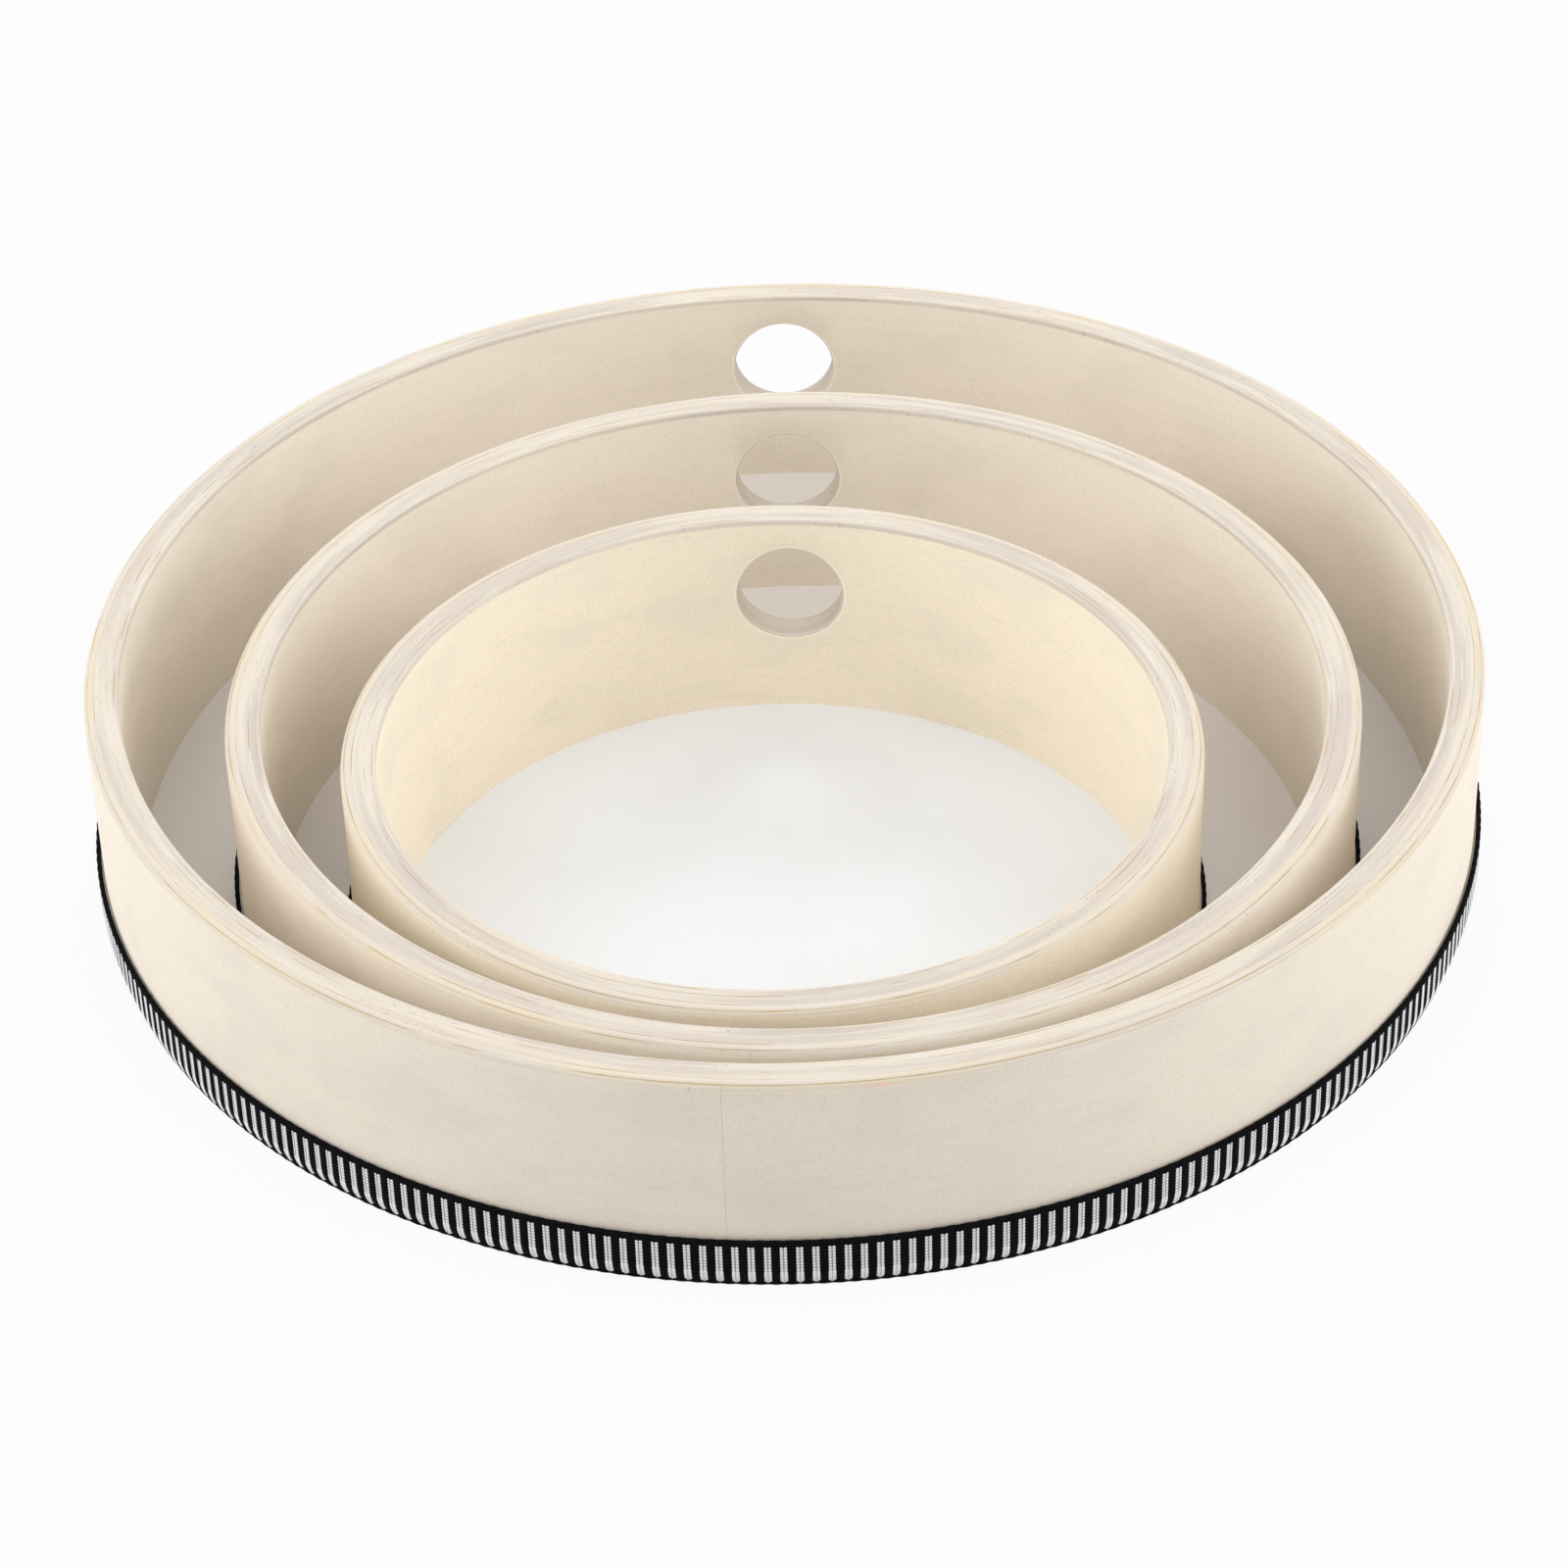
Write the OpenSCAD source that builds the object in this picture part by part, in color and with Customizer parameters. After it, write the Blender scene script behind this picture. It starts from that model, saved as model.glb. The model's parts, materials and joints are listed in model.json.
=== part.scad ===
// Nest of three frame drums. Each is a bent plywood rim with one thumb hole, a head on its lower
// face and a woven ribbon glued over the head's edge. They lie head down, one inside another.

/* [Drums] */
// Outer diameter of the large rim
large_d = 254; // [200:1:400]
// How much smaller each next rim is, across its outer diameter
size_step = 50.8; // [40:0.1:62]
// Depth of a drum, from the playing face of its head to its open edge
drum_h = 42.8; // [34:0.1:90]

/* [Rim plies] */
// Thickness of the ply on the outside, and of the one on the inside
face_ply_t = 0.7; // [0.4:0.05:1]
// Thickness of the ply next to each face ply
cross_ply_t = 1.3; // [0.8:0.05:1.8]
// Thickness of the middle ply
core_ply_t = 2.3; // [1.6:0.05:3]
// Open joint where the two ends of a face ply meet
ply_joint = 0.15; // [0.1:0.05:0.3]
// Angle of the outside ply's joint, from the point opposite the thumb hole
outer_joint_angle = -4.6; // [-30:0.1:30]
// Angle of the inside ply's joint, from the point opposite the thumb hole
inner_joint_angle = -2.3; // [-30:0.1:30]

/* [Rim edges] */
// Rounding of the open edge's outer corner
open_outer_round = 1.4; // [0.4:0.1:2]
// Rounding of the open edge's inner corner
open_inner_round = 0.4; // [0.1:0.1:0.6]
// Rounding of the rim's lower outer edge, where the head and the ribbon bend inward
foot_round = 5.5; // [4.5:0.1:8]
// How high above the rim's lower edge that rounding starts
foot_h = 3.85; // [2:0.05:4.2]

/* [Thumb hole] */
// Diameter of the thumb hole
hole_d = 20; // [14:0.5:26]
// How far the thumb hole's centre lies below the middle of the bare wall above the ribbon
hole_drop = 0.3; // [-1:0.1:1]

/* [Head] */
// Thickness of the head
head_t = 0.3; // [0.2:0.05:0.4]
// How far the edge of the head's collar stays below the ribbon's upper edge
collar_setback = 1.3; // [1:0.1:3]

/* [Ribbon] */
// How far the ribbon reaches up the drum, from its lower edge to its upper edge
ribbon_h = 10; // [8:0.1:13]
// Thickness of the ribbon
ribbon_t = 0.9; // [0.5:0.05:1.1]
// Thickness of the glue between the ribbon and the head's collar
glue_t = 0.1; // [0.05:0.05:0.2]
// How far the ribbon's lower edge stays above the head's playing face
ribbon_lift = 0.3; // [0.1:0.1:0.6]
// How far the glue stays back from each edge of the ribbon
glue_margin = 0.8; // [0.5:0.1:1.5]
// Rounding of the ribbon's upper outer corner
ribbon_round = 0.3; // [0.1:0.05:0.4]
// Gap between the ribbon's two ends
ribbon_joint = 0.3; // [0.1:0.1:1]
// Angle of the ribbon's joint, from the point opposite the thumb hole
ribbon_joint_angle = 176; // [120:1:240]

/* [Nest] */
// Gap between the medium drum's ribbon and the large rim, at its narrowest
medium_gap = 0.65; // [0.4:0.05:3]
// Direction in which the medium drum is pushed, from straight to the front, positive to the right
medium_lean = 5.6; // [-45:0.1:45]
// Turn of the medium drum about its own axis
medium_turn = 0.6; // [-180:0.1:180]
// Gap between the small drum's ribbon and the medium rim, at its narrowest
small_gap = 1.7; // [0.4:0.05:3]
// Direction in which the small drum is pushed, from straight to the front, positive to the right
small_lean = -13.1; // [-45:0.1:45]
// Turn of the small drum about its own axis
small_turn = -2.5; // [-180:0.1:180]

/* [Hidden] */
$fn = 96;
// How far a cutting shape runs past what it cuts
spill = 1;

medium_d = large_d - size_step;
small_d = medium_d - size_step;

wall_t = 2 * face_ply_t + 2 * cross_ply_t + core_ply_t;
trim_t = head_t + glue_t + ribbon_t;
rim_h = drum_h - head_t;
ribbon_top = ribbon_lift + ribbon_h;
collar_h = ribbon_top - collar_setback;
hole_z = (ribbon_top + drum_h) / 2 - hole_drop;

// Centre of the foot's rounding, and how far the head's flat part reaches, from the rim's outside
foot_at = [-foot_round, head_t + foot_h];
head_edge = round(100 * (sqrt(pow(foot_round, 2) - pow(foot_h, 2)) - foot_round - head_t)) / 100;
// Angles below level at which the ribbon and its glue end on the foot's rounding
ribbon_angle = asin((foot_at.y - ribbon_lift) / (foot_round + trim_t));
glue_angle = ribbon_angle - glue_margin / (foot_round + head_t + glue_t) * 180 / PI;

// How far a drum's centre can go from the next larger drum's centre
medium_reach = (large_d - medium_d) / 2 - wall_t - trim_t - medium_gap;
small_reach = (medium_d - small_d) / 2 - wall_t - trim_t - small_gap;

large_at = [0, 0, 0];
medium_at = large_at + nest_offset(medium_reach, medium_lean);
small_at = medium_at + nest_offset(small_reach, small_lean);

// Each drum's head rests on the head of the drum around it
function nest_offset(reach, lean) = [reach * sin(lean), -reach * cos(lean), head_t];

// ---- places of the three drums ----

module in_large() {
    translate(large_at) children();
}

module in_medium() {
    translate(medium_at) rotate(medium_turn) children();
}

module in_small() {
    translate(small_at) rotate(small_turn) children();
}

// ---- outlines in the plane of radius and height ----

// What a rounding takes off a corner; quarter 0 is the upper outer corner, then anticlockwise
module corner_cut(corner, quarter, radius) {
    translate(corner) rotate(90 * quarter) translate([-radius, -radius]) difference() {
        square(radius + spill);
        circle(radius);
    }
}

// What the rounded foot takes off the corner of a wall that is thicker outside and below
module foot_cut(r, grow) {
    corner_cut([r + grow, foot_at.y - foot_round - grow], 3, foot_round + grow);
}

// Everything within a distance of the rim's outer and lower faces, up to a height
module wall_side(r, grow, high) {
    difference() {
        translate([r + head_edge, head_t - grow])
            square([grow - head_edge, high - head_t + grow]);
        foot_cut(r, grow);
    }
}

// Outline of the whole rim wall
module wall_outline(r) {
    difference() {
        translate([r - wall_t, head_t]) square([wall_t, rim_h]);
        corner_cut([r, drum_h], 0, open_outer_round);
        corner_cut([r - wall_t, drum_h], 1, open_inner_round);
        foot_cut(r, 0);
    }
}

// Outline of the head's collar: the fold round the rim's foot, and the flap above it
module collar_outline(r) {
    difference() {
        wall_side(r, head_t, collar_h);
        wall_side(r, 0, collar_h + spill);
    }
}

// Everything below the slanted line at which a band on the foot ends
module below_angle(r, angle) {
    far = 3 * (foot_round + trim_t);
    translate([r, 0]) polygon([
        foot_at, foot_at + far * [cos(angle), -sin(angle)], [far, -far], foot_at - [0, far]
    ]);
}

// ---- cuts ----

// Round cut of the thumb hole, straight out through the back of the rim
module thumb_hole(r) {
    translate([0, r - wall_t - spill, hole_z])
        rotate([-90, 0, 0]) cylinder(d = hole_d, h = wall_t + 2 * spill);
}

// Thin upright slot through a ring, at an angle from the point opposite the thumb hole
module end_joint(r, angle, gap) {
    rotate(angle) translate([-gap / 2, -r - trim_t - spill, -spill])
        cube([gap, wall_t + trim_t + 2 * spill, drum_h + 2 * spill]);
}

// ---- sub-parts of one drum ----

// One ply of the rim: the band of the wall that starts at a depth from its outside
module ply(r, depth, t) {
    difference() {
        rotate_extrude() intersection() {
            wall_outline(r);
            translate([r - depth - t, 0]) square([t, drum_h]);
        }
        thumb_hole(r);
    }
}

module outer_ply(d) {
    color("wheat") difference() {
        ply(d / 2, 0, face_ply_t);
        end_joint(d / 2, outer_joint_angle, ply_joint);
    }
}

module outer_cross_ply(d) {
    color("burlywood") ply(d / 2, face_ply_t, cross_ply_t);
}

module core_ply(d) {
    color("tan") ply(d / 2, face_ply_t + cross_ply_t, core_ply_t);
}

module inner_cross_ply(d) {
    color("burlywood") ply(d / 2, face_ply_t + cross_ply_t + core_ply_t, cross_ply_t);
}

module inner_ply(d) {
    color("wheat") difference() {
        ply(d / 2, wall_t - face_ply_t, face_ply_t);
        end_joint(d / 2, inner_joint_angle, ply_joint);
    }
}

// The flat part of the head, under the whole drum
module head(d) {
    color("whitesmoke") cylinder(r = d / 2 + head_edge, h = head_t);
}

// The part of the head that folds up the outside of the rim
module head_collar(d) {
    color("white") rotate_extrude() collar_outline(d / 2);
}

// Glue that fills what is left between the ribbon, the collar and the rim
module ribbon_glue(d) {
    r = d / 2;
    color("ivory") difference() {
        rotate_extrude() difference() {
            wall_side(r, head_t + glue_t, ribbon_top - glue_margin);
            wall_side(r, head_t, collar_h);
            wall_side(r, 0, ribbon_top);
            below_angle(r, glue_angle);
        }
        end_joint(r, ribbon_joint_angle, ribbon_joint);
    }
}

module ribbon(d) {
    r = d / 2;
    color("dimgray") difference() {
        rotate_extrude() difference() {
            wall_side(r, trim_t, ribbon_top);
            wall_side(r, head_t + glue_t, ribbon_top + spill);
            below_angle(r, ribbon_angle);
            corner_cut([r + trim_t, ribbon_top], 0, ribbon_round);
        }
        end_joint(r, ribbon_joint_angle, ribbon_joint);
    }
}

in_large() outer_ply(large_d);  // large_outer_ply
in_large() outer_cross_ply(large_d);  // large_outer_cross_ply
in_large() core_ply(large_d);  // large_core_ply
in_large() inner_cross_ply(large_d);  // large_inner_cross_ply
in_large() inner_ply(large_d);  // large_inner_ply
in_large() head(large_d);  // large_head
in_large() head_collar(large_d);  // large_head_collar
in_large() ribbon_glue(large_d);  // large_ribbon_glue
in_large() ribbon(large_d);  // large_ribbon

in_medium() outer_ply(medium_d);  // medium_outer_ply
in_medium() outer_cross_ply(medium_d);  // medium_outer_cross_ply
in_medium() core_ply(medium_d);  // medium_core_ply
in_medium() inner_cross_ply(medium_d);  // medium_inner_cross_ply
in_medium() inner_ply(medium_d);  // medium_inner_ply
in_medium() head(medium_d);  // medium_head
in_medium() head_collar(medium_d);  // medium_head_collar
in_medium() ribbon_glue(medium_d);  // medium_ribbon_glue
in_medium() ribbon(medium_d);  // medium_ribbon

in_small() outer_ply(small_d);  // small_outer_ply
in_small() outer_cross_ply(small_d);  // small_outer_cross_ply
in_small() core_ply(small_d);  // small_core_ply
in_small() inner_cross_ply(small_d);  // small_inner_cross_ply
in_small() inner_ply(small_d);  // small_inner_ply
in_small() head(small_d);  // small_head
in_small() head_collar(small_d);  // small_head_collar
in_small() ribbon_glue(small_d);  // small_ribbon_glue
in_small() ribbon(small_d);  // small_ribbon
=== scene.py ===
"""Looks of a nest of three frame drums: plywood rims, heads, woven ribbons and a plain stage."""

import json
import math

import bmesh
import bpy
from bpy.props import FloatProperty, FloatVectorProperty, IntProperty, PointerProperty
from bpy.types import Operator, Panel, PropertyGroup
from mathutils import Matrix, Vector, noise


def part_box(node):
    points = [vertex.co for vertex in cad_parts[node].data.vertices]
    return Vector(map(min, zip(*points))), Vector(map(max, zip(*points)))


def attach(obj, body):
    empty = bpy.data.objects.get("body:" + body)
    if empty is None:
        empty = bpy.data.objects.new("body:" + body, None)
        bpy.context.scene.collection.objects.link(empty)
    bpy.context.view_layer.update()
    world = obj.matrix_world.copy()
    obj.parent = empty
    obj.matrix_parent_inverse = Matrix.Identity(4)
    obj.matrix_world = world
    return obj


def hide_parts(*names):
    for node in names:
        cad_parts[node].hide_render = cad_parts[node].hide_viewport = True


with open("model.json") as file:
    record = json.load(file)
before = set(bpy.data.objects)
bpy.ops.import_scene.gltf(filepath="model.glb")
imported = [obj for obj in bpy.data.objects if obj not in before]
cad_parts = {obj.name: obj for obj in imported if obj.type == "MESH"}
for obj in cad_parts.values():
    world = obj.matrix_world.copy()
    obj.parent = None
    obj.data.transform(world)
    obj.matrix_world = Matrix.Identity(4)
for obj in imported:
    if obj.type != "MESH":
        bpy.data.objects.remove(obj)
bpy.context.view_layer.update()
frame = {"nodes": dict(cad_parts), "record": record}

bl_info = {
    "name": "Nesting frame drums",
    "version": (1, 0, 0),
    "blender": (4, 5, 0),
    "location": "3D View > Sidebar > Drums",
    "description": "Plywood rims, heads and woven ribbons of three frame drums that nest",
    "category": "Object",
}

MM = 0.001
FULL_TURN = 2 * math.pi
FRONT = -math.pi / 2  # the side of a drum opposite its thumb hole, as an angle from +X
WELD = 1e-4  # points nearer than this, in millimetres, become one
HAIR = 0.01  # millimetres that count as no distance
CREASE = 35  # degrees between two faces from which the edge between them looks sharp
WEAVE_CREASE = 60  # the same for a ribbon

# The plies from the outside in: CAD node, piece, and material slot (not used)
PLIES = (
    ("outer_ply", "outer_veneer", "face_ply"),
    ("outer_cross_ply", "outer_crossband", "cross_ply"),
    ("core_ply", "core_veneer", "core_ply"),
    ("inner_cross_ply", "inner_crossband", "cross_ply"),
    ("inner_ply", "inner_veneer", "face_ply"),
)


# ---- sizes and colours ----


def length(name, description, millimetres):
    return FloatProperty(name=name, description=description, default=millimetres * MM, unit="LENGTH", precision=5)


def share(name, description, default):
    return FloatProperty(name=name, description=description, default=default, subtype="FACTOR", min=0, max=1)


def angle(name, description, degrees):
    return FloatProperty(name=name, description=description, default=math.radians(degrees), unit="ROTATION")


def power(name, description, watts):
    return FloatProperty(name=name, description=description, default=watts, unit="POWER")


def colour(name, description, red, green, blue):
    """A colour property whose default is given in screen values from 0 to 255."""
    return FloatVectorProperty(
        name=name,
        description=description,
        default=[linear(c) for c in (red, green, blue)],
        subtype="COLOR",
        min=0,
        max=1,
    )


def linear(level):
    """A screen value from 0 to 255 as an amount of light from 0 to 1."""
    c = level / 255
    return c / 12.92 if c <= 0.04045 else ((c + 0.055) / 1.055) ** 2.4


class RimSettings(PropertyGroup):
    segments: IntProperty(name="Segments", description="Steps round one rim", default=288, min=96)
    outer_round: length("Outer round", "Rounding of the open edge's outer corner", 1.4)
    inner_round: length("Inner round", "Rounding of the open edge's inner corner", 0.4)
    foot_round: length("Foot round", "Rounding of the rim's lower outer edge", 5.5)
    foot_rise: length("Foot rise", "Height above the rim's lower edge at which that rounding starts", 3.85)
    fold_round: length("Fold round", "Rounding of the corner below it, over which the head folds", 0.5)
    hole_ease: length("Hole ease", "Rounding of the thumb hole's edge", 0.45)
    seam_width: length("Seam width", "How far a ply's upper corners are worn back at the glue line", 0.07)
    seam_depth: length("Seam depth", "How deep the glue line lies between two plies", 0.05)
    joint_gap: length("Veneer joint", "Open joint where a face veneer's ends meet", 0.03)
    edge_wave: length("Edge wave", "How far the sanded edge rises and falls", 0.07)
    face: colour("Face", "Face veneer", 239, 229, 214)
    face_deep: colour("Face grain", "Darker grain of the face veneer", 224, 212, 193)
    # Painted light: the small drum's veneer is painted a little yellower than the face colour, standing for the
    # difference in light between its open bowl and the more shaded larger drums.
    small_face_painted_light: colour("Yellow face", "Face veneer of the small drum", 242, 231, 210)
    edge: colour("Edge", "Sanded edge of a ply", 218, 209, 195)
    edge_grey: colour("Grey edge", "Greyer, pinker stretches of a ply's edge", 193, 182, 173)
    edge_yellow: colour("Yellow edge", "Yellower stretches of a ply's edge", 220, 205, 179)
    glue: colour("Glue line", "Tan glue line between two plies", 190, 164, 120)
    pale_line: colour("Pale line", "Bright glue line between two plies", 229, 222, 211)
    # Painted highlight: a lighter colour on the eased ring round each thumb hole, standing in for the light that the
    # rounded edge catches.
    eased_highlight: colour("Eased edge", "Sanded ring round a thumb hole", 249, 241, 228)
    speck: colour("Specks", "Open pores and small dark marks", 138, 118, 96)
    stain: colour("Stain", "Small pink stain on the large rim's outer edge", 240, 178, 158)


class HeadSettings(PropertyGroup):
    # The small head is painted cooler, and the other two heads warmer and a little darker: painted light on the
    # small head, which lies open to the lamps, and painted shade on the others, which lie in the gaps between the
    # rims.
    small: colour("Small head", "Membrane of the small drum", 236, 239, 243)
    large: colour("Other heads", "Membrane of the large and the medium drum", 236, 232, 229)
    shade: colour("Head shade", "Slightly darker clouds in a head", 228, 226, 224)
    seat: length("Seat", "Gap under a head that lies on another head", 0.02)


class RibbonSettings(PropertyGroup):
    width: length("Ribbon width", "Width of the ribbon as it is bought", 10)
    pitch: length("Bar pitch", "Distance between two white bars", 2.675)
    bar_width: length("Bar width", "Width of a white bar", 1.34)
    top_selvedge: length("Top selvedge", "Height of the black cord along the upper edge", 1.0)
    bottom_selvedge: length("Bottom selvedge", "Height of the black cord along the lower edge", 0.6)
    scallop: length("Scallop", "Rise and fall of the upper edge between two bars", 0.09)
    smooth_share: share("Smoother share", "How much of a bar, from its lower end, has finer, smoother threads", 0.36)
    teeth: IntProperty(name="Teeth", description="Thread turns along the toothed part of a bar", default=8)
    joint_gap: length("Ribbon joint", "Gap between the ribbon's two ends", 0.3)
    joint_angle: angle("Joint angle", "Where the ribbon's ends meet, from the side opposite the thumb hole", 176)
    black: colour("Ground", "Black ground weave", 7, 7, 9)
    # Painted highlight: this lighter black goes on the weave's raised threads, mixed with random fuzz, and stands in
    # for the light they catch.
    fuzz_and_thread_highlight: colour("Ground threads", "Raised threads of the ground weave", 20, 20, 23)
    white: colour("Bars", "White threads", 250, 250, 252)
    # Painted shade: this grey goes in the valleys between the thread turns and along each bar's middle groove.
    thread_painted_shade: colour("Bar shade", "Between the white threads", 88, 88, 100)


class StageSettings(PropertyGroup):
    floor: share("Floor", "Paleness of the floor and backdrop", 0.6)
    floor_white: share("White floor", "How far the floor shows plain white to the camera", 0.93)
    sky: share("Sky", "Strength of the even light from all round", 0.65)
    front_power: power("Front lamps", "Power of each lamp in front", 1.63)
    side_power: power("Side lamps", "Power of each upper lamp at a side", 1.19)
    low_power: power("Low lamps", "Power of each low lamp at a side", 3.3)
    back_power: power("Back lamp", "Power of the lamp behind", 3.36)
    lamp_size: length("Lamp size", "Width of each round lamp", 600)
    lamp_distance: length("Lamp distance", "From the drums to each lamp", 1050)
    lens: FloatProperty(name="Lens", description="Focal length in millimetres", default=107.4)
    camera_distance: length("Camera distance", "From the drums to the camera", 866)
    camera_turn: angle("Camera turn", "How far the camera stands to the right of the front", 0.92)
    camera_rise: angle("Camera rise", "How steeply the camera looks down", 35.97)
    camera_roll: angle("Camera roll", "How far the camera leans to its side", 1.73)


# ---- places of the drums, from the frame ----


def corners(node):
    """The different corner points of a CAD node."""
    return {tuple(round(c, 7) for c in v.co) for v in frame["nodes"][node].data.vertices}


class Drum:
    """Place and sizes of one drum, in millimetres from its own axis, read from the frame."""

    def __init__(self, name):
        self.name = name
        self.body = name + "_drum"
        disc = corners(name + "_head")
        self.centre = Vector([sum(p[i] for p in disc) / len(disc) for i in (0, 1)] + [min(p[2] for p in disc)])
        mount = next(m for m in frame["record"]["mounts"] if m["name"] == name + "_thumb_hole")
        self.turn = math.atan2(-mount["axis"][0], mount["axis"][1])
        self.hole_height = (mount["pos_m"][2] - self.centre.z) / MM
        self.hole_radius = mount["dims"]["r_mm"]
        self.outer = self.span("outer_ply")[1]
        self.inner = self.span("inner_ply")[0]
        self.head_thickness = self.heights("head")[1]
        self.top = self.heights("core_ply")[1]

    def span(self, part):
        """Smallest and largest distance of a part from the drum's axis."""
        reach = [math.hypot(p[0] - self.centre.x, p[1] - self.centre.y) for p in corners(f"{self.name}_{part}")]
        return min(reach) / MM, max(reach) / MM

    def heights(self, part):
        """Lowest and highest point of a part above the drum's lower face."""
        low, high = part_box(f"{self.name}_{part}")
        return (low.z - self.centre.z) / MM, (high.z - self.centre.z) / MM

    def place(self):
        """From the drum's own millimetres to the shared frame."""
        return Matrix.Translation(self.centre) @ Matrix.Rotation(self.turn, 4, "Z") @ Matrix.Scale(MM, 4)


DRUMS = [Drum(name) for name in ("large", "medium", "small")]


# ---- making pieces ----


def finish_piece(bm, name, drum, material, crease=CREASE):
    """Turns the mesh, made in the drum's own millimetres, into a piece that rides on the drum."""
    bmesh.ops.transform(bm, matrix=drum.place(), verts=bm.verts)
    mesh = bpy.data.meshes.new(name)
    bm.to_mesh(mesh)
    bm.free()
    mesh.shade_smooth()
    mesh.set_sharp_from_angle(angle=math.radians(crease))
    piece = bpy.data.objects.new(name, mesh)
    bpy.context.scene.collection.objects.link(piece)
    mesh.materials.append(material)
    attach(piece, drum.body)
    return piece


def spin_outline(outline, steps, start=FRONT, gap=0.0):
    """Turns a closed outline of radius and height round the axis, from one angle; a gap leaves it open there."""
    bm = bmesh.new()
    loop = [bm.verts.new((r * math.cos(start + gap / 2), r * math.sin(start + gap / 2), z)) for r, z in outline]
    section = bm.faces.new(loop)
    geometry = loop + list(section.edges)
    if gap:
        geometry.append(section)
    else:
        bmesh.ops.delete(bm, geom=[section], context="FACES_ONLY")
    bmesh.ops.spin(
        bm,
        geom=geometry,
        cent=(0, 0, 0),
        axis=(0, 0, 1),
        angle=FULL_TURN - gap,
        steps=steps,
        use_merge=not gap,
        use_duplicate=False,
    )
    bmesh.ops.remove_doubles(bm, verts=bm.verts, dist=WELD)
    bmesh.ops.recalc_face_normals(bm, faces=bm.faces)
    return bm


def repeat_outline(outline, steps, copies, start, period):
    """Turns a closed outline through one period and copies that round the axis, with both ends closed."""
    bm = bmesh.new()
    loop = [bm.verts.new((r * math.cos(start), r * math.sin(start), z)) for r, z in outline]
    edges = [bm.edges.new(pair) for pair in zip(loop, loop[1:] + loop[:1])]
    turn = {"cent": (0, 0, 0), "axis": (0, 0, 1)}
    bmesh.ops.spin(bm, geom=loop + edges, angle=period, steps=steps, **turn)
    bmesh.ops.spin(
        bm,
        geom=bm.verts[:] + bm.edges[:] + bm.faces[:],
        angle=period * (copies - 1),
        steps=copies - 1,
        use_duplicate=True,
        **turn,
    )
    bmesh.ops.remove_doubles(bm, verts=bm.verts, dist=WELD)
    bmesh.ops.holes_fill(bm, edges=[e for e in bm.edges if e.is_boundary], sides=0)
    bmesh.ops.recalc_face_normals(bm, faces=bm.faces)
    return bm


def edge_height(drum, depth, rims):
    """Height of the sanded open edge at a depth from the outside of the rim."""
    width = drum.outer - drum.inner
    fall = 0.0
    for reach, at in ((rims.outer_round / MM, depth), (rims.inner_round / MM, width - depth)):
        if at < reach:
            fall += reach - math.sqrt(max(0.0, reach**2 - (reach - at) ** 2))
    return drum.top - fall


def foot_point(drum, rims, grow, below):
    """Radius and height of the rounded foot, grown outwards by a distance, at an angle below level."""
    foot = rims.foot_round / MM
    rise = drum.head_thickness + rims.foot_rise / MM
    return (
        drum.outer - foot + (foot + grow) * math.cos(below),
        rise - (foot + grow) * math.sin(below),
    )


def skin_outline(drum, rims, grow, steps=7):
    """The rounded foot and the fold below it, grown outwards, from the underside up to where the wall is upright."""
    foot, fold = rims.foot_round / MM, rims.fold_round / MM
    drop = rims.foot_rise / MM - fold
    run = math.asin(drop / (foot - fold))
    centre = (drum.outer - foot + (foot - fold) * math.cos(run), drum.head_thickness + fold)
    reach = fold + grow
    points = []
    for step in range(steps):
        turn = math.pi / 2 - (math.pi / 2 - run) * step / steps
        points.append((centre[0] + reach * math.cos(turn), centre[1] - reach * math.sin(turn)))
    points += [foot_point(drum, rims, grow, run * (1 - step / steps)) for step in range(steps + 1)]
    return points


def height_on(line, r):
    """Height at a radius of a line of points that runs outwards and is level inside its start."""
    if r <= line[0][0]:
        return line[0][1]
    after = next((p for p in line if p[0] >= r - 1e-6), line[-1])
    before = line[max(0, line.index(after) - 1)]
    part = (r - before[0]) / max(after[0] - before[0], 1e-9)
    return before[1] + (after[1] - before[1]) * part


def ply_outline(drum, near, far, rims):
    """Outline of one ply between two radii, anticlockwise from its lower inner corner."""
    seam, drop = rims.seam_width / MM, rims.seam_depth / MM
    outside = drum.outer - far < HAIR
    inside = near - drum.inner < HAIR
    skin = skin_outline(drum, rims, 0.0)
    low = [(r, height_on(skin, r)) for r in (near, far)]
    bottom = [low[0]] + [p for p in skin if near + HAIR < p[0] < far - HAIR] + [low[1]]

    def on_top(r, worn=0.0):
        return r, edge_height(drum, drum.outer - r, rims) - worn

    count = 9 if drum.outer - far < rims.outer_round / MM else 5  # more where the corner is rounded
    shares = [step / count for step in range(count + 1)]
    if outside:  # closer together at the corner itself
        shares = [1 - math.cos(math.pi / 2 * share) for share in shares]
    top = [on_top(far - (far - near) * share) for share in shares]
    if not outside:
        top[:1] = [on_top(far, drop), on_top(far - seam)]
    if inside:
        top[-1:] = [on_top(near + reach) for reach in (0.25, 0.12, 0.03, 0.0)]
        top.sort(reverse=True)
    else:
        top[-1:] = [on_top(near + seam), on_top(near, drop)]
    return bottom + top


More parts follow.
